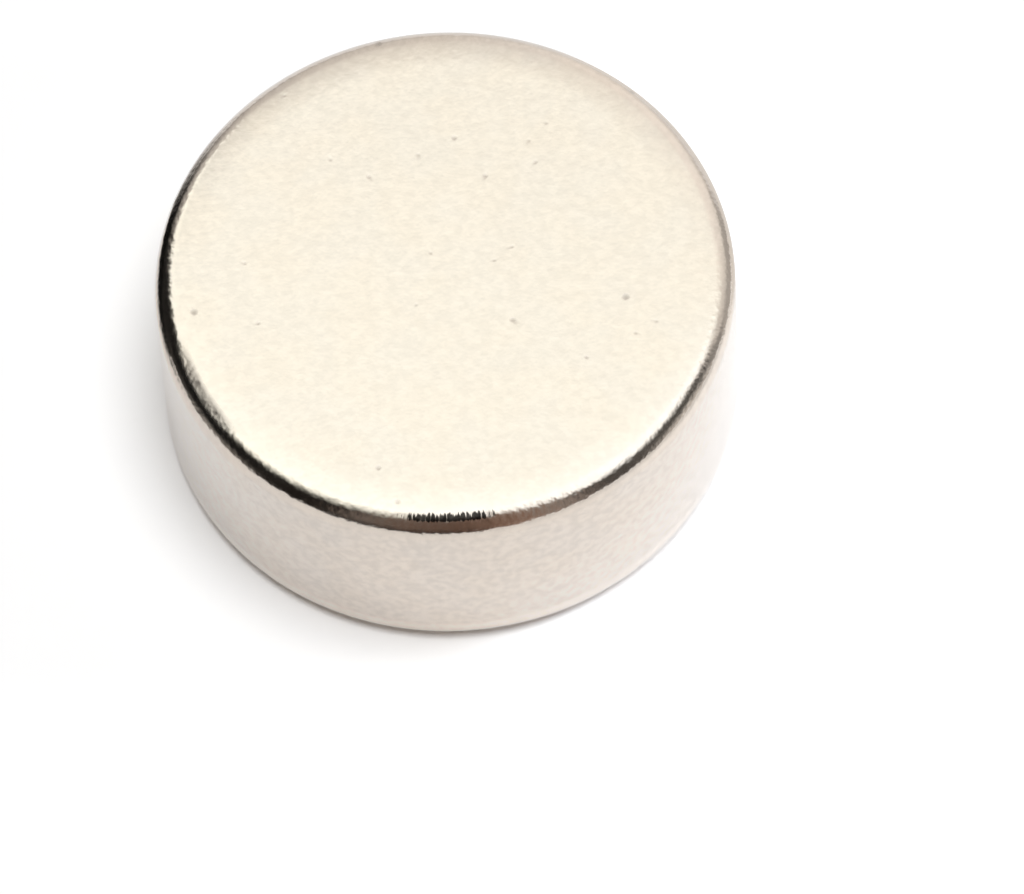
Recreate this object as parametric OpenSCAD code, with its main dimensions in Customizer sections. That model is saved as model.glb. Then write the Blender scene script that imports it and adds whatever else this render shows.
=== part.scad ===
// Disc magnet: a sintered disc, ground flat on both pole faces and round on its wall,
// tumbled until its edges are rounded, then plated with bright nickel.
// The origin is the middle of the lower pole face, and +Z is the magnet's axis.

/* [Disc] */
// Outside diameter of the wall
disc_d = 25; // [10:0.5:60]
// Height from one pole face to the other
disc_h = 10; // [4:0.5:30]

/* [Tumbled edges] */
// Radius of the corner between a pole face and the wall
edge_r = 1; // [0.3:0.05:1.5]
// Width of the band where a pole face falls away, from the flat to the middle of the corner
fall_w = 1.2; // [0.4:0.1:2.5]
// Depth that the face has fallen by at the top of the corner
fall_d = 0.05; // [0.02:0.01:0.15]

/* [Hidden] */
$fn = 180;

// The plating's pale warm grey
nickel = [0.88, 0.84, 0.77];

disc_r = disc_d / 2;
half_h = disc_h / 2;

// Middle of the corner's arc, which runs smoothly into the wall
corner_x = disc_r - edge_r;
corner_z = half_h - fall_d - edge_r;
// Radius of the part of a pole face that is truly flat
flat_r = corner_x - fall_w;
// Radius of the fall's arc, which runs smoothly into the flat and into the corner's arc
fall_r = edge_r + (pow(fall_w, 2) / fall_d + fall_d) / 2;
// Distance from the axis at which the fall's arc runs into the corner's arc
meet_x = flat_r + fall_w * fall_r / (fall_r - edge_r);

// Upper half of the section, from the axis to the wall, with the middle height at y = 0
module upper_half_section() {
    square([flat_r, half_h]);
    square([disc_r, corner_z]);
    intersection() {
        translate([flat_r, 0]) square([meet_x - flat_r, half_h]);
        translate([flat_r, half_h - fall_r]) circle(fall_r);
    }
    translate([corner_x, corner_z]) circle(edge_r);
}

module magnet() {
    color(nickel)
        translate([0, 0, half_h])
            rotate_extrude() {
                upper_half_section();
                mirror([0, 1]) upper_half_section();
            }
}

magnet();
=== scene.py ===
import math
import random

import bmesh
import bpy
from mathutils import Matrix, Vector, noise
from mathutils.kdtree import KDTree


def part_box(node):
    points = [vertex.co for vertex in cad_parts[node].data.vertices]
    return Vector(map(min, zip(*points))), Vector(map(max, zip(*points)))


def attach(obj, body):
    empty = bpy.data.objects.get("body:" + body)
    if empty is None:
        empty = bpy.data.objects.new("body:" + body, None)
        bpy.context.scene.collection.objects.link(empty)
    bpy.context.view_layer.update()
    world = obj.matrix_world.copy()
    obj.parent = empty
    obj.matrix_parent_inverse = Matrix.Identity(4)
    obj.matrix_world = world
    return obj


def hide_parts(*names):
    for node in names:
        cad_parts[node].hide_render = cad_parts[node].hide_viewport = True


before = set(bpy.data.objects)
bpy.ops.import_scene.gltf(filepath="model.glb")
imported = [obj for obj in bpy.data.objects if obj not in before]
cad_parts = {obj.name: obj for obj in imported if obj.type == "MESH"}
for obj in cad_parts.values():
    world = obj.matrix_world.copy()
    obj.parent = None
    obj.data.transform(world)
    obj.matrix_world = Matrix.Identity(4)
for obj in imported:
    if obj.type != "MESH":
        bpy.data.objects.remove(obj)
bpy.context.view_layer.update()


# MAGNET
# A disc of sintered magnet alloy, ground flat on both pole faces and round on its wall, then
# tumbled in a drum until its edges are rounded, and plated all over with nickel.
# It is one loose piece that stands on its lower pole face.

low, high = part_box("magnet")
disc_r = (high.x - low.x) / 2
disc_h = high.z - low.z
edge_r = 0.001
fall_w = 0.0012
fall_d = 0.00005
weld_reach = 1e-7
# How upright a normal is at the least on a pole face, and at the most on the wall
face_upright = 0.96
wall_upright = 0.3


def node(tree, kind, inputs=(), **settings):
    """Adds a node with these settings, and fills its inputs with values or other nodes' outputs."""
    made = tree.nodes.new(kind)
    for name, value in settings.items():
        setattr(made, name, value)
    for key, value in dict(inputs).items():
        if isinstance(value, bpy.types.NodeSocket):
            tree.links.new(value, made.inputs[key])
        else:
            made.inputs[key].default_value = value
    return made


def calc(tree, operation, *values):
    """The output of a Math node."""
    return node(tree, "ShaderNodeMath", dict(enumerate(values)), operation=operation).outputs[0]


def ramp(tree, value, start, end, low=0.0, high=1.0):
    """Goes smoothly from low to high as value goes from start to end, and stays level past them."""
    sockets = {"Value": value, "From Min": start, "From Max": end, "To Min": low, "To Max": high}
    return node(tree, "ShaderNodeMapRange", sockets, interpolation_type="SMOOTHSTEP").outputs[0]


def point(tree, x, y, z):
    """The output of a Combine XYZ node."""
    return node(tree, "ShaderNodeCombineXYZ", {"X": x, "Y": y, "Z": z}).outputs[0]


def sides(tree, place):
    """The X, Y and Z outputs of a place."""
    return node(tree, "ShaderNodeSeparateXYZ", {0: place}).outputs


disc_inputs = {
    "Disc Radius": disc_r,
    "Disc Height": disc_h,
    "Edge Radius": edge_r,
    "Fall Width": fall_w,
    "Fall Depth": fall_d,
    "Face Rings": 44,
    "Fall Rings": 9,
    "Corner Rings": 24,
    "Wall Rings": 14,
    "Turn Steps": 360,
}
disc = bpy.data.node_groups.new("tumbled_disc", "GeometryNodeTree")
for name, value in disc_inputs.items():
    kind = "NodeSocketInt" if isinstance(value, int) else "NodeSocketFloat"
    disc.interface.new_socket(name, in_out="INPUT", socket_type=kind)
disc.interface.new_socket("Plating", in_out="INPUT", socket_type="NodeSocketMaterial")
disc.interface.new_socket("Magnet", in_out="OUTPUT", socket_type="NodeSocketGeometry")
size = node(disc, "NodeGroupInput").outputs

# The upper half of the section, drawn with x out from the axis and y up from the middle height
half_h = calc(disc, "DIVIDE", size["Disc Height"], 2.0)
corner_x = calc(disc, "SUBTRACT", size["Disc Radius"], size["Edge Radius"])
rim_z = calc(disc, "SUBTRACT", half_h, size["Fall Depth"])
corner_z = calc(disc, "SUBTRACT", rim_z, size["Edge Radius"])
flat_r = calc(disc, "SUBTRACT", corner_x, size["Fall Width"])
fall_ratio = calc(disc, "DIVIDE", calc(disc, "POWER", size["Fall Width"], 2.0), size["Fall Depth"])
fall_arm = calc(disc, "DIVIDE", calc(disc, "ADD", fall_ratio, size["Fall Depth"]), 2.0)
fall_r = calc(disc, "ADD", fall_arm, size["Edge Radius"])
fall_turn = calc(disc, "ARCSINE", calc(disc, "DIVIDE", size["Fall Width"], fall_arm))
corner_turn = calc(disc, "SUBTRACT", math.pi / 2, fall_turn)


def line(start, end, count):
    """A straight stretch of the section with this many points."""
    drawn = node(disc, "GeometryNodeCurvePrimitiveLine", {"Start": start, "End": end}).outputs[0]
    sockets = {"Curve": drawn, "Count": count}
    return node(disc, "GeometryNodeResampleCurve", sockets, mode="COUNT").outputs[0]


def moved(shape, by):
    """The shape, moved without turning it."""
    return node(disc, "GeometryNodeTransform", {"Geometry": shape, "Translation": by}).outputs[0]


def arc(middle, radius, start, turn, count):
    """A round stretch of the section that runs clockwise from the start angle."""
    sockets = {"Resolution": count, "Radius": radius, "Start Angle": start}
    sockets["Sweep Angle"] = calc(disc, "MULTIPLY", turn, -1.0)
    drawn = node(disc, "GeometryNodeCurveArc", sockets, mode="RADIUS").outputs["Curve"]
    return moved(drawn, middle)


face = line(point(disc, 0.0, half_h, 0.0), point(disc, flat_r, half_h, 0.0), size["Face Rings"])
fall_middle = point(disc, flat_r, calc(disc, "SUBTRACT", half_h, fall_r), 0.0)
fall = arc(fall_middle, fall_r, math.pi / 2, fall_turn, size["Fall Rings"])
bend_at = point(disc, corner_x, corner_z, 0.0)
bend = arc(bend_at, size["Edge Radius"], corner_turn, corner_turn, size["Corner Rings"])
wall_top = point(disc, size["Disc Radius"], corner_z, 0.0)
wall = line(wall_top, point(disc, size["Disc Radius"], 0.0, 0.0), size["Wall Rings"])
section = node(disc, "GeometryNodeJoinGeometry")
for stretch in (wall, bend, fall, face):
    disc.links.new(stretch, section.inputs[0])

# A sheet with one row for each point of the section is bent round the axis, and its mirror
# image makes the lower half
rings = node(disc, "GeometryNodeAttributeDomainSize", {0: section.outputs[0]}, component="CURVE")
rings = rings.outputs["Point Count"]
last_ring = calc(disc, "SUBTRACT", rings, 1.0)
sheet_inputs = {"Size X": 2 * math.pi, "Size Y": last_ring, "Vertices Y": rings}
sheet_inputs["Vertices X"] = calc(disc, "ADD", size["Turn Steps"], 1.0)
sheet = node(disc, "GeometryNodeMeshGrid", sheet_inputs).outputs["Mesh"]
position = node(disc, "GeometryNodeInputPosition").outputs[0]
on_sheet = sides(disc, position)
ring = calc(disc, "ROUND", calc(disc, "ADD", on_sheet["Y"], calc(disc, "DIVIDE", last_ring, 2.0)))
sample_inputs = {"Geometry": section.outputs[0], "Value": position, "Index": ring}
sample = node(disc, "GeometryNodeSampleIndex", sample_inputs, data_type="FLOAT_VECTOR", domain="POINT")
on_section = sides(disc, sample.outputs[0])
turned_x = calc(disc, "MULTIPLY", on_section["X"], calc(disc, "COSINE", on_sheet["X"]))
turned_y = calc(disc, "MULTIPLY", on_section["X"], calc(disc, "SINE", on_sheet["X"]))
turned = point(disc, turned_x, turned_y, on_section["Y"])
upper = node(disc, "GeometryNodeSetPosition", {"Geometry": sheet, "Position": turned}).outputs[0]
upper = node(disc, "GeometryNodeFlipFaces", {"Mesh": upper}).outputs[0]
mirrored = {"Geometry": upper, "Scale": (1.0, 1.0, -1.0)}
lower = node(disc, "GeometryNodeTransform", mirrored).outputs[0]
lower = node(disc, "GeometryNodeFlipFaces", {"Mesh": lower}).outputs[0]
halves = node(disc, "GeometryNodeJoinGeometry")
for half in (lower, upper):
    disc.links.new(half, halves.inputs[0])
welded = {"Geometry": halves.outputs[0], "Distance": weld_reach}
body = node(disc, "GeometryNodeMergeByDistance", welded).outputs[0]
body = moved(body, point(disc, 0.0, 0.0, half_h))

# The corners and the wall carry values of their own, because tumbling wears them differently
normal = node(disc, "GeometryNodeInputNormal").outputs[0]
upright = calc(disc, "ABSOLUTE", sides(disc, normal)["Z"])
off_wall = ramp(disc, upright, 0.0, wall_upright)
on_corner = calc(disc, "MULTIPLY", off_wall, ramp(disc, upright, 1.0, face_upright))
on_wall = ramp(disc, upright, wall_upright, 0.0)
for name, value in (("corner", on_corner), ("wall", on_wall)):
    sockets = {"Geometry": body, "Name": name, "Value": value}
    stored = node(disc, "GeometryNodeStoreNamedAttribute", sockets, data_type="FLOAT", domain="POINT")
    body = stored.outputs[0]
body = node(disc, "GeometryNodeSetShadeSmooth", {"Geometry": body}).outputs[0]
body = node(disc, "GeometryNodeRealizeInstances", {"Geometry": body}).outputs[0]
body = node(disc, "GeometryNodeSetMaterial", {"Geometry": body, "Material": size["Plating"]}).outputs[0]
node(disc, "NodeGroupOutput", {"Magnet": body})

# Nickel: satin all over with a fine grain, and rougher and duller where it is scuffed or pitted
# Painted into its colour: shade in the pits and on the wall, a dark reflection in the chip, and a
# highlight above the lower corner
nickel_warm = (0.664, 0.592, 0.522)
nickel_cool = (0.655, 0.590, 0.528)
nickel_edge = (0.94, 0.96, 0.98, 1.0)
tint_patch = 0.0025
patch_detail = 2.0
tint_turns = {"start": 0.35, "end": 0.65}
face_roughness = 0.22
corner_roughness = 0.16
scuff_roughness = 0.30
pit_roughness = 0.15
fine_grain = 0.00034
fine_detail = 3.0
fine_harshness = 0.55
coarse_grain = fine_grain / 1.4
coarse_detail = 0.8
face_relief = 0.000007
corner_relief = 0.000015
scuff_relief = 0.000036
mottle_grain = fine_grain / 0.9
mottle_turns = {"start": 0.3, "end": 0.7, "low": -1.0, "high": 0.6}
face_mottle = 0.036
wall_mottle = 0.07
# Painted shade: the wall's base colour is made a little darker all round
wall_painted_shade = 0.05
# Painted highlight: a bright line is painted round the wall just above its lower corner
foot_highlight_starts = {"start": 0.0009, "end": 0.0012}
foot_highlight_ends = {"start": 0.0016, "end": 0.0013}
foot_painted_highlight = 0.12
# Pits get a darker base colour, partly dirt and partly painted shade of the hollow
pit_dirt_and_shade = 0.27
# Scuffs get a darker base colour
scuff_darkening = 0.28
# Painted reflection: the chip is painted nearly black in place of a dark reflection, and the dark ends
# in teeth that point away from the axis
painted_reflection_dark = 0.93
tooth_width = 0.00012
tooth_length = 0.0010
tooth_detail = 3.0
tooth_harshness = 0.65
tooth_strength = {"start": 0.0, "end": 0.3, "low": 0.0, "high": 3.0}
ragged_reflection_turns = {"start": 0.35, "end": 0.75}
least_shade = 0.02

nickel = bpy.data.materials.new("nickel_plate")
nickel.use_nodes = True
plate = nickel.node_tree
metal = plate.nodes["Principled BSDF"]
metal.inputs["Metallic"].default_value = 1.0
metal.inputs["Specular Tint"].default_value = nickel_edge


def object_place(tree):
    """Where a point of the surface lies on its object."""
    return node(tree, "ShaderNodeTexCoord").outputs["Object"]


def grain(place, size, detail, harshness=0.5):
    """A noise round 0.5, with lumps of about this size."""
    sockets = {"Vector": place, "Scale": 1 / size, "Detail": detail, "Roughness": harshness}
    return node(plate, "ShaderNodeTexNoise", sockets).outputs[0]


def add_up(tree, start, *shares):
    """The start value, and each value added to it times its share."""
    total = start
    for value, share in shares:
        total = calc(tree, "MULTIPLY_ADD", value, share, total)
    return total


def mix(tree, share, first, second):
    """Goes from the first colour to the second as share goes from 0 to 1."""
    sockets = {0: share, 4: first, 5: second}
    return node(tree, "ShaderNodeMix", sockets, data_type="VECTOR").outputs[1]


spot = object_place(plate)
at = sides(plate, spot)
corner, wall_part, pit, scuff, chip_and_painted_reflection = (
    node(plate, "ShaderNodeAttribute", attribute_name=name).outputs["Fac"]
    for name in ("corner", "wall", "pit", "scuff", "chip_and_painted_reflection")
)
fine = grain(spot, fine_grain, fine_detail, fine_harshness)
coarse = calc(plate, "SUBTRACT", grain(spot, coarse_grain, coarse_detail), 0.5)
mottle = ramp(plate, grain(spot, mottle_grain, patch_detail), **mottle_turns)
tint = ramp(plate, grain(spot, tint_patch, patch_detail), **tint_turns)

# The teeth are drawn on the rim, with x round it and y away from the axis
round_by = calc(plate, "MULTIPLY", calc(plate, "ARCTAN2", at["Y"], at["X"]), disc_r / tooth_width)
flat_spot = point(plate, at["X"], at["Y"], 0.0)
out_by = node(plate, "ShaderNodeVectorMath", {0: flat_spot}, operation="LENGTH").outputs["Value"]
on_rim = point(plate, round_by, calc(plate, "DIVIDE", out_by, tooth_length), 0.0)
teeth = calc(plate, "SUBTRACT", grain(on_rim, 1.0, tooth_detail, tooth_harshness), 0.5)
# Painted reflection: the chip's nearly black colour, with a toothed edge
painted_reflection_edge = add_up(plate, chip_and_painted_reflection, (teeth, ramp(plate, chip_and_painted_reflection, **tooth_strength)))
ragged_painted_reflection = ramp(plate, painted_reflection_edge, **ragged_reflection_turns)

# Painted highlight: a lighter band of base colour just above the lower corner
foot_highlight_band = calc(plate, "MULTIPLY", ramp(plate, at["Z"], **foot_highlight_starts), ramp(plate, at["Z"], **foot_highlight_ends))
shade = add_up(
    plate,
    1.0,
    (mottle, ramp(plate, wall_part, 0.0, 1.0, face_mottle, wall_mottle)),
    (wall_part, -wall_painted_shade),
    (foot_highlight_band, foot_painted_highlight),
    (pit, -pit_dirt_and_shade),
    (scuff, -scuff_darkening),
    (ragged_painted_reflection, -painted_reflection_dark),
)
shade = calc(plate, "MAXIMUM", shade, least_shade)
colour = {0: mix(plate, tint, nickel_cool, nickel_warm), "Scale": shade}
colour = node(plate, "ShaderNodeVectorMath", colour, operation="SCALE").outputs[0]
plate.links.new(colour, metal.inputs["Base Color"])
shine = ramp(plate, corner, 0.0, 1.0, face_roughness, corner_roughness)
shine = add_up(plate, shine, (scuff, scuff_roughness), (pit, pit_roughness))
plate.links.new(shine, metal.inputs["Roughness"])
coarse_relief = add_up(plate, 0.0, (corner, corner_relief), (scuff, scuff_relief))
height = add_up(plate, 0.0, (fine, face_relief), (coarse, coarse_relief))
relief = node(plate, "ShaderNodeBump", {"Height": height, "Distance": 1.0})
plate.links.new(relief.outputs[0], metal.inputs["Normal"])

magnet = bpy.data.objects.new("magnet_plated", bpy.data.meshes.new("magnet_plated"))
bpy.context.scene.collection.objects.link(magnet)
maker = magnet.modifiers.new("tumbled_disc", "NODES")
maker.node_group = disc
for item in disc.interface.items_tree:
    if item.in_out == "INPUT":
        maker[item.identifier] = disc_inputs.get(item.name, nickel)
evaluated = magnet.evaluated_get(bpy.context.evaluated_depsgraph_get())
magnet.data = bpy.data.meshes.new_from_object(evaluated)
magnet.modifiers.remove(maker)

# Pits in the upper face: across, towards the back, and radius, all in millimetres
face_pits = [
    (7.7, -1.8, 0.20), (2.8, -2.5, 0.17), (0.9, 6.7, 0.16), (-2.9, 5.1, 0.14), (2.1, 4.7, 0.15),
    (-8.5, 1.3, 0.13), (-10.8, -0.9, 0.20), (-8.1, -1.7, 0.13), (-3.4, -9.2, 0.16), (-2.7, -10.9, 0.16),
    (5.8, -4.6, 0.13), (8.0, -3.6, 0.12), (8.9, -3.1, 0.12), (-4.5, 6.1, 0.12), (-0.7, 6.0, 0.12),
    (4.1, 6.3, 0.12), (4.3, 5.2, 0.13), (4.9, 7.1, 0.12), (3.0, 1.1, 0.12), (-0.5, 1.1, 0.12),
    (2.2, 0.5, 0.11), (-1.3, -1.4, 0.11), (-6.3, 9.5, 0.13),
]
# Nicks in the upper corner: degrees round from the right towards the front, degrees down from
# the face, and radius in millimetres
corner_nicks = [(158, 15, 0.22), (150, 17, 0.16), (260, 27, 0.20), (316, 40, 0.16)]
# Specks in the wall: degrees round as above, height and radius in millimetres
wall_pits = [(57.6, 4.6, 0.10), (76, 4.6, 0.10), (96, 3.7, 0.08), (118, 6.0, 0.08)]
# Pits underneath and round the back: radius in millimetres, margin in metres, and share of the height
unseen_pits = 24
pit_seed = 7
unseen_r = (0.10, 0.18)
unseen_margin = 0.003
unseen_height = (0.2, 0.8)
# How deep a pit is for its radius, and the radius from which its dirt and painted shade are full
face_steepness = 0.08
corner_steepness = 0.07
wall_steepness = 0.10
dark_pit_r = 0.0002
# The mesh is cut finer round each pit
split_margin = 0.00015
split_cuts = 4

# Worn stretches of the upper corner's inner side: degrees round as above, half their length in
# degrees, how far from the axis they start, are full and end, and how deep they are, in millimetres
# The chip's stretch also carries a painted dark reflection in the nickel's colour
worn_places = {
    "scuff": (156, 14, 11.40, 11.70, 11.80, 12.10, 0.006),
    "chip_and_painted_reflection": (93, 13, 11.50, 11.86, 11.93, 12.06, 0.012),
}
worn_full_share = 0.4
hollow_fade = 0.30
unevenness = 0.000003
unevenness_size = 0.0014

corner_middle_r = disc_r - edge_r
corner_middle_z = disc_h / 2 - fall_d - edge_r


def smooth(value, start, end):
    """Goes smoothly from 0 to 1 as value goes from start to end."""
    share = min(max((value - start) / (end - start), 0.0), 1.0)
    return share * share * (3 - 2 * share)


dents = []
for x, y, r in face_pits:
    place = Vector((x / 1000, y / 1000, disc_h))
    dents.append((place, Vector((0, 0, 1)), r / 1000, face_steepness))
for turn, tilt, r in corner_nicks:
    turn = math.radians(turn)
    tilt = math.radians(tilt)
    out = Vector((math.cos(turn) * math.sin(tilt), -math.sin(turn) * math.sin(tilt), math.cos(tilt)))
    bend_middle = Vector((math.cos(turn), -math.sin(turn), 0)) * corner_middle_r
    bend_middle.z = disc_h / 2 + corner_middle_z
    dents.append((bend_middle + out * edge_r, out, r / 1000, corner_steepness))
for turn, z, r in wall_pits:
    turn = math.radians(turn)
    out = Vector((math.cos(turn), -math.sin(turn), 0))
    place = out * disc_r + Vector((0, 0, z / 1000))
    dents.append((place, out, r / 1000, wall_steepness))
scatter = random.Random(pit_seed)
for count in range(unseen_pits):
    turn = math.radians(scatter.uniform(0, 360))
    out = Vector((math.cos(turn), math.sin(turn), 0))
    r = scatter.uniform(*unseen_r) / 1000
    if count % 2:
        place = out * (disc_r - unseen_margin) * math.sqrt(scatter.random())
        dents.append((place, Vector((0, 0, -1)), r, face_steepness))
    else:
        out.y = abs(out.y)
        place = out * disc_r + Vector((0, 0, disc_h * scatter.uniform(*unseen_height)))
        dents.append((place, out, r, wall_steepness))

shaped = bmesh.new()
shaped.from_mesh(magnet.data)
pit_layer = shaped.verts.layers.float.new("pit")
worn_layers = {name: shaped.verts.layers.float.new(name) for name in worn_places}


def points_by_place():
    """A finder of the mesh's points that lie close to a place."""
    shaped.verts.index_update()
    shaped.verts.ensure_lookup_table()
    finder = KDTree(len(shaped.verts))
    for vert in shaped.verts:
        finder.insert(vert.co, vert.index)
    finder.balance()
    return finder


finder = points_by_place()
close = set()
for middle, out, r, steepness in dents:
    reach = r + split_margin
    for found, index, away in finder.find_range(middle, reach):
        vert = shaped.verts[index]
        for edge in vert.link_edges:
            if (edge.other_vert(vert).co - middle).length < reach:
                close.add(edge)
bmesh.ops.subdivide_edges(
    shaped,
    edges=sorted(close, key=lambda edge: edge.index),
    cuts=split_cuts,
    use_grid_fill=True,
    use_single_edge=True,
)
# The new points are set back on the round corner or the round wall
for vert in shaped.verts:
    out_r = math.hypot(vert.co.x, vert.co.y)
    if out_r < corner_middle_r:
        continue
    past = max(abs(vert.co.z - disc_h / 2) - corner_middle_z, 0.0)
    grow = edge_r / math.hypot(out_r - corner_middle_r, past)
    seat_r = corner_middle_r + (out_r - corner_middle_r) * grow
    seat_z = disc_h / 2 + math.copysign(corner_middle_z + past * grow, vert.co.z - disc_h / 2)
    if past == 0:
        seat_z = vert.co.z
    vert.co = (vert.co.x * seat_r / out_r, vert.co.y * seat_r / out_r, seat_z)

finder = points_by_place()
for middle, out, r, steepness in dents:
    for found, index, away in finder.find_range(middle, r):
        vert = shaped.verts[index]
        depth = (1 - (away / r) ** 2) ** 2
        vert.co -= out * (r * steepness * depth)
        dark = math.sqrt(depth) * min(r / dark_pit_r, 1.0) ** 2
        vert[pit_layer] = max(vert[pit_layer], dark)

shaped.normal_update()
for vert in shaped.verts:
    out_r = math.hypot(vert.co.x, vert.co.y)
    sunk = unevenness * (0.5 + 0.5 * noise.noise(vert.co / unevenness_size))
    if vert.co.z > disc_h / 2 and out_r > corner_middle_r - fall_w:
        turn = math.degrees(math.atan2(-vert.co.y, vert.co.x))
        for name, (middle, reach, start, full, still_full, end, depth) in worn_places.items():
            worn_by = smooth(abs(turn - middle), reach, reach * worn_full_share)
            worn_by *= smooth(out_r * 1000, start, full)
            vert[worn_layers[name]] = worn_by * smooth(out_r * 1000, end, still_full)
            sunk += worn_by * smooth(out_r * 1000, end + hollow_fade, still_full) * depth / 1000
    vert.co -= vert.normal * sunk
shaped.normal_update()
shaped.to_mesh(magnet.data)
shaped.free()

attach(magnet, "root")
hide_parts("magnet")


# TABLE
# A matt white table top that the magnet stands on. It isn't part of the object. It is one flat
# sheet, which shows white to the camera and the metal and still takes the magnet's shadow, and
# which carries a pool of painted light by the magnet's right side.

table_half = 1.5
table_colour = 0.8
table_seen = 1.5
# Painted light: a pool of light is painted on the table close to the magnet's right side, where the
# wall throws light
painted_light_pool = (0.24, 0.30, 0.38)
pool_from_axis = {"start": 0.0155, "end": 0.0122}
pool_across = {"start": -0.002, "end": 0.006}


def sheet_of(name, points, material):
    """A flat stage card with these corners."""
    mesh = bpy.data.meshes.new(name)
    mesh.from_pydata(points, [], [range(len(points))])
    mesh.materials.append(material)
    card = bpy.data.objects.new(name, mesh)
    bpy.context.scene.collection.objects.link(card)
    return card


def surface(name, shader):
    """A material whose surface is one shader node of this kind, its tree, and that node."""
    material = bpy.data.materials.new(name)
    material.use_nodes = True
    tree = material.node_tree
    tree.nodes.remove(tree.nodes["Principled BSDF"])
    made = node(tree, shader)
    tree.links.new(made.outputs[0], tree.nodes["Material Output"].inputs["Surface"])
    return material, tree, made


def seen_straight(tree):
    """1 for what the camera sees, also by way of metal or glass, and 0 for light that scatters."""
    ray = node(tree, "ShaderNodeLightPath").outputs
    seen = calc(tree, "ADD", ray["Is Camera Ray"], ray["Is Glossy Ray"])
    return calc(tree, "MINIMUM", calc(tree, "ADD", seen, ray["Is Transmission Ray"]), 1.0)


white, top, matt = surface("table_white", "ShaderNodeBsdfDiffuse")
on_table = object_place(top)
from_axis = node(top, "ShaderNodeVectorMath", {0: on_table}, operation="LENGTH").outputs["Value"]
# Painted light: how much of the pool shows, by the magnet's right side
pool_share = ramp(top, sides(top, on_table)["X"], **pool_across)
pool_share = calc(top, "MULTIPLY", ramp(top, from_axis, **pool_from_axis), pool_share)
seen_here = {0: painted_light_pool, "Scale": pool_share}
seen_here = node(top, "ShaderNodeVectorMath", seen_here, operation="SCALE").outputs[0]
seen_here = node(top, "ShaderNodeVectorMath", {0: seen_here, 1: (table_seen,) * 3}).outputs[0]
table_shown = mix(top, seen_straight(top), (table_colour,) * 3, seen_here)
top.links.new(table_shown, matt.inputs["Color"])
table_corners = [(-1, -1), (1, -1), (1, 1), (-1, 1)]
sheet_of("table", [(x * table_half, y * table_half, 0) for x, y in table_corners], white)


# SOFTBOX
# A lit cloth above the table, which only the metal sees. It has soft edges, and lets the room
# show where it is dim.

box_z = 0.5
box_left, box_right = -0.75, 1.00
box_front, box_back = -0.55, 0.80
box_light = (1.59, 1.65, 1.56)
box_cool_light = (1.59, 1.65, 1.67)
# The lit part's left and right edges, and how soft they are, from front to back
left_runs = {"start": 0.30, "end": 0.58, "low": -0.285, "high": -0.50}
left_softness = {"start": 0.10, "end": 0.35, "low": 0.16, "high": 0.05}
right_runs = {"start": 0.05, "end": 0.25, "low": 0.43, "high": 0.62}
right_softness = {"start": 0.05, "end": 0.25, "low": 0.16, "high": 0.35}
# Its front and back edges, and how soft they are, from left to right
front_runs = {"start": -0.05, "end": 0.30, "low": -0.10, "high": -0.31}
front_softness = {"start": -0.10, "end": 0.15, "low": 0.20, "high": 0.11}
back_runs = {"start": -0.25, "end": -0.08, "low": 0.60, "high": 0.35}
back_dip = {"start": 0.0, "end": 0.30, "low": 0.0, "high": 0.07}
back_softness = 0.10
# It is a little brighter on the left and in front, and cooler in front on the right
left_strength = {"start": -0.05, "end": 0.05, "low": 1.03, "high": 0.97}
front_strength = {"start": 0.24, "end": 0.12, "low": 1.0, "high": 1.16}
cool_front = {"start": 0.24, "end": 0.12}
cool_right = {"start": -0.12, "end": 0.02}


def only_mirrored(card):
    """Lets metal mirror a card, and nothing else see it."""
    card.visible_camera = False
    card.visible_diffuse = False
    card.visible_transmission = False
    card.visible_shadow = False
    for material in card.data.materials:
        material.cycles.emission_sampling = "NONE"


def soft_edge(tree, inside, width):
    """Goes from 0 outside an edge to 1 inside it, over twice this width."""
    return ramp(tree, inside, calc(tree, "MULTIPLY", width, -1.0), width)


def see_through(tree, blend, cover, lit):
    """Shows a lit shader where cover is 1, and what lies behind it where cover is 0."""
    tree.links.new(cover, blend.inputs[0])
    tree.links.new(node(tree, "ShaderNodeBsdfTransparent").outputs[0], blend.inputs[1])
    tree.links.new(lit, blend.inputs[2])


glow, cloth, blend = surface("softbox_cloth", "ShaderNodeMixShader")
across = sides(cloth, object_place(cloth))
left_edge = ramp(cloth, across["Y"], **left_runs)
right_edge = ramp(cloth, across["Y"], **right_runs)
front_edge = ramp(cloth, across["X"], **front_runs)
back_edge = ramp(cloth, across["X"], **back_runs)
back_edge = calc(cloth, "SUBTRACT", back_edge, ramp(cloth, across["X"], **back_dip))
cover = 1.0
for inside, outside, width in (
    (across["X"], left_edge, ramp(cloth, across["Y"], **left_softness)),
    (right_edge, across["X"], ramp(cloth, across["Y"], **right_softness)),
    (across["Y"], front_edge, ramp(cloth, across["X"], **front_softness)),
    (back_edge, across["Y"], back_softness),
):
    inside = calc(cloth, "SUBTRACT", inside, outside)
    cover = calc(cloth, "MULTIPLY", cover, soft_edge(cloth, inside, width))
strength = ramp(cloth, across["X"], **left_strength)
strength = calc(cloth, "MULTIPLY", strength, ramp(cloth, across["Y"], **front_strength))
cool = ramp(cloth, across["X"], **cool_right)
cool = calc(cloth, "MULTIPLY", ramp(cloth, across["Y"], **cool_front), cool)
box_shown = mix(cloth, cool, box_light, box_cool_light)
lit = node(cloth, "ShaderNodeEmission", {"Color": box_shown, "Strength": strength}).outputs[0]
see_through(cloth, blend, cover, lit)
box_corners = [
    (box_left, box_back, box_z),
    (box_right, box_back, box_z),
    (box_right, box_front, box_z),
    (box_left, box_front, box_z),
]
only_mirrored(sheet_of("softbox", box_corners, glow))


# LAMPS
# Two soft lamps that light the table, one wide and far above it, and a small one close by on the
# right. The metal doesn't mirror them.

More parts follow.
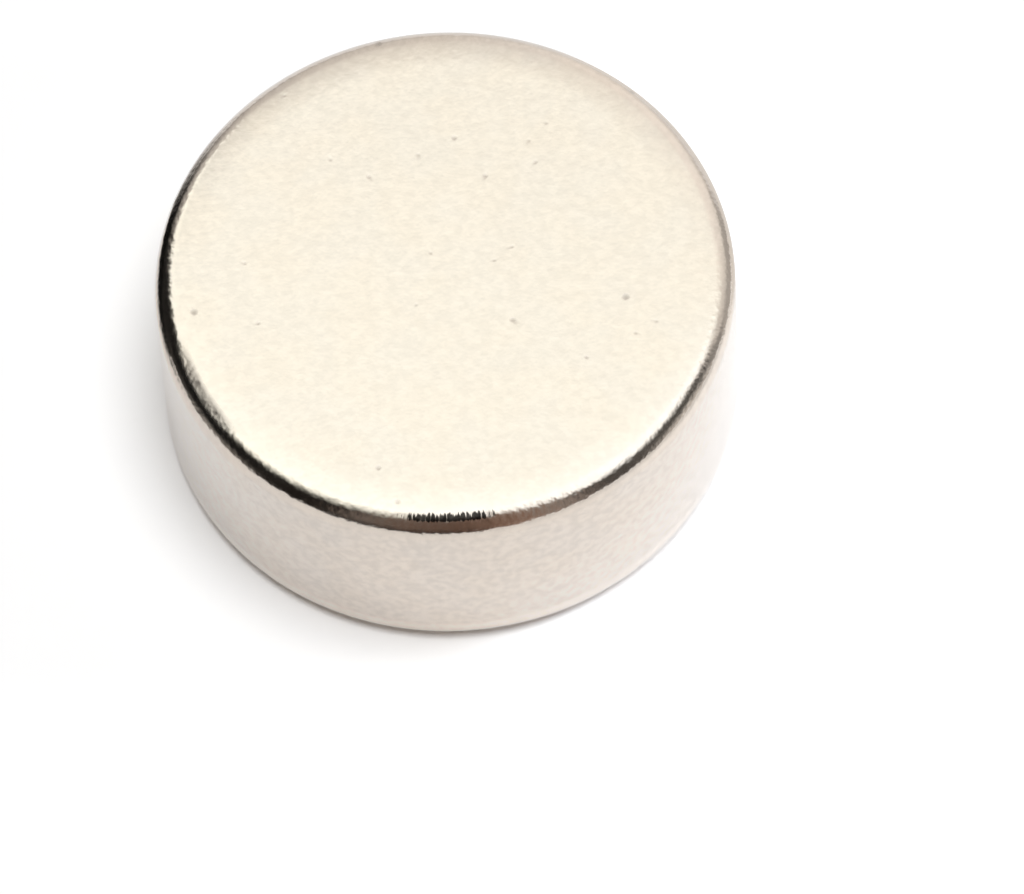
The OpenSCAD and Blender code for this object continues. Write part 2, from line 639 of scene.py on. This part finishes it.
top_light_from = Vector((0.045, -0.075, 1.0))
top_light_width = math.radians(37)
top_light_power = 1.85
right_lamp_at = Vector((0.036, -0.006, 0.028))
right_lamp_width = 0.015
right_lamp_power = 0.0029

top_light = bpy.data.lights.new("top_light", "SUN")
top_light.angle = top_light_width
top_light.energy = top_light_power
right_lamp = bpy.data.lights.new("right_lamp", "AREA")
right_lamp.shape = "DISK"
right_lamp.size = right_lamp_width
right_lamp.energy = right_lamp_power
for light, hung_at in ((top_light, top_light_from), (right_lamp, right_lamp_at)):
    lamp = bpy.data.objects.new(light.name, light)
    lamp.location = hung_at
    lamp.rotation_euler = (-hung_at).to_track_quat("-Z", "Y").to_euler()
    lamp.visible_camera = False
    lamp.visible_glossy = False
    bpy.context.scene.collection.objects.link(lamp)


# ROOM
# The room round the table, which only the metal sees: dark on the left and in front, a brown
# patch behind the camera, and pale at the back. It is a plain dome, and beyond it is white air
# that gives the table a little light.

room_r = 0.9
room_floor = -0.01
room_low_z, room_high_z = 0.05, 0.40
room_plain = (1.0, 0.97, 0.93)
room_brown = (1.0, 0.62, 0.46)
fill_light = 0.07
# Degrees round from the left by way of the front, light high up, light near the table, and how
# brown it is
room_light = [
    (0, 0.012, 0.40, 0.0),
    (14, 0.014, 0.24, 0.0),
    (28, 0.02, 0.02, 0.3),
    (44, 0.01, 0.01, 0.4),
    (58, 0.20, 0.06, 0.35),
    (73, 0.18, 0.05, 0.75),
    (90, 0.15, 0.06, 1.0),
    (106, 0.30, 0.36, 0.9),
    (121, 0.36, 0.34, 0.3),
    (135, 0.08, 0.10, 0.2),
    (149, 0.12, 0.10, 0.1),
    (158, 0.11, 0.55, 0.0),
    (165, 0.11, 0.85, 0.0),
    (176, 0.10, 0.80, 0.0),
    (184, 0.25, 0.40, 0.0),
    (189, 0.65, 0.20, 0.0),
    (196, 0.90, 0.44, 0.0),
    (210, 1.00, 0.62, 0.0),
    (224, 1.20, 0.76, 0.0),
    (240, 1.28, 1.00, 0.0),
    (254, 1.18, 1.05, 0.0),
    (270, 0.92, 0.82, 0.0),
    (286, 0.80, 0.70, 0.0),
    (298, 0.72, 0.52, 0.0),
    (306, 0.55, 0.30, 0.0),
    (318, 0.012, 0.01, 0.0),
    (348, 0.012, 0.06, 0.0),
]

dark, walls, shown = surface("room_walls", "ShaderNodeEmission")
here = object_place(walls)
around = node(walls, "ShaderNodeTexGradient", {"Vector": here}, gradient_type="RADIAL").outputs["Fac"]
bands = []
for row in (1, 2):
    band = node(walls, "ShaderNodeValToRGB", {"Fac": around})
    for step in room_light[2:]:
        band.color_ramp.elements.new(step[0] / 360)
    for element, step in zip(band.color_ramp.elements, room_light):
        element.position = step[0] / 360
        tint_here = Vector(room_plain).lerp(room_brown, step[3])
        element.color = (*(tint_here * step[row]), 1.0)
    bands.append(band.outputs["Color"])
high_band, low_band = bands
up_wall = ramp(walls, sides(walls, here)["Z"], room_low_z, room_high_z)
walls.links.new(mix(walls, up_wall, low_band, high_band), shown.inputs["Color"])
shell = bmesh.new()
bmesh.ops.create_uvsphere(shell, u_segments=96, v_segments=48, radius=room_r)
under_table = [vert for vert in shell.verts if vert.co.z < room_floor]
bmesh.ops.delete(shell, geom=under_table, context="VERTS")
room = bpy.data.objects.new("room", bpy.data.meshes.new("room"))
shell.to_mesh(room.data)
shell.free()
room.data.materials.append(dark)
bpy.context.scene.collection.objects.link(room)
only_mirrored(room)

world = bpy.data.worlds.new("studio")
bpy.context.scene.world = world
world.use_nodes = True
air = world.node_tree
background = air.nodes["Background"].inputs
background["Color"].default_value = (1.0, 1.0, 1.0, 1.0)
air.links.new(ramp(air, seen_straight(air), 0.0, 1.0, fill_light, 1.0), background["Strength"])


# CARDS
# Two cards that stand on the table and two sheets that lie on it, which only the metal sees: a
# black card and a sheet of painted shade on the left of the magnet, a grey card and a dimmer sheet
# of painted shade on its right. Each glows at a set level, as lit paper would, with some edges
# that fade out.

sheet_z = 0.0003


def standing(left, right, top):
    """The corners of a card that stands on the table from one place to another."""
    return [(*left, 0), (*right, 0), (*right, top), (*left, top)]


def lying(left, right, front, back):
    """The corners of a sheet that lies on the table."""
    corners = ((left, front), (right, front), (right, back), (left, back))
    return [(x, y, sheet_z) for x, y in corners]


black_card = standing(left=(-0.090, 0.017), right=(-0.010, 0.017), top=0.014)
# Painted shade: sheets dimmer than the table, lying where the metal mirrors it
painted_shade_left = lying(left=-0.090, right=-0.018, front=-0.004, back=0.060)
painted_shade_right = lying(left=0.010, right=0.034, front=0.001, back=0.034)
grey_card = standing(left=(0.030, 0.024), right=(0.056, 0.004), top=0.016)
# For each: its light, and where it starts to show and shows fully, across and towards the back
for name, corners, light, fades in (
    ("black_card", black_card, 0.006, {"X": (-0.010, -0.024)}),
    ("painted_shade_left", painted_shade_left, 0.15, {"X": (-0.019, -0.045), "Y": (-0.002, 0.012)}),
    ("painted_shade_right", painted_shade_right, 1.0, {"X": (0.010, 0.012), "Y": (0.001, 0.006)}),
    ("grey_card", grey_card, 0.55, {"X": (0.030, 0.036)}),
):
    paper, fibres, blend = surface(name, "ShaderNodeMixShader")
    along = sides(fibres, object_place(fibres))
    cover = 1.0
    for side, (start, end) in fades.items():
        cover = calc(fibres, "MULTIPLY", cover, ramp(fibres, along[side], start, end))
    paper_light = (*(Vector(room_plain) * light), 1.0)
    lit = node(fibres, "ShaderNodeEmission", {"Color": paper_light}).outputs[0]
    see_through(fibres, blend, cover, lit)
    only_mirrored(sheet_of(name, corners, paper))


# CAMERA
# A long lens that looks down from in front and well above, tipped a little to the side, and
# turned so that the magnet's middle falls at its place in the picture.

picture = (1024, 894)
middle_seen_at = (448.4, 330.7)
elevation = math.radians(60.72)
distance = 0.531
tip = math.radians(4.42)
lens_pixels = 12271
sensor = 36

middle = (low + high) / 2
back = Vector((0, -math.cos(elevation), math.sin(elevation)))
level_right = Vector((1, 0, 0))
level_up = back.cross(level_right)
right = level_right * math.cos(tip) - level_up * math.sin(tip)
up = level_right * math.sin(tip) + level_up * math.cos(tip)
off_x = (middle_seen_at[0] - picture[0] / 2) / lens_pixels
off_y = (picture[1] / 2 - middle_seen_at[1]) / lens_pixels
backward = (back + right * off_x + up * off_y).normalized()
right = up.cross(backward).normalized()
up = backward.cross(right)

camera = bpy.data.objects.new("camera", bpy.data.cameras.new("camera"))
camera.data.sensor_width = sensor
camera.data.lens = lens_pixels * sensor / picture[0]
aim = Matrix((right, up, backward)).transposed().to_4x4()
camera.matrix_world = Matrix.Translation(middle + back * distance) @ aim
bpy.context.scene.collection.objects.link(camera)
bpy.context.scene.camera = camera
bpy.context.scene.view_settings.view_transform = "Standard"
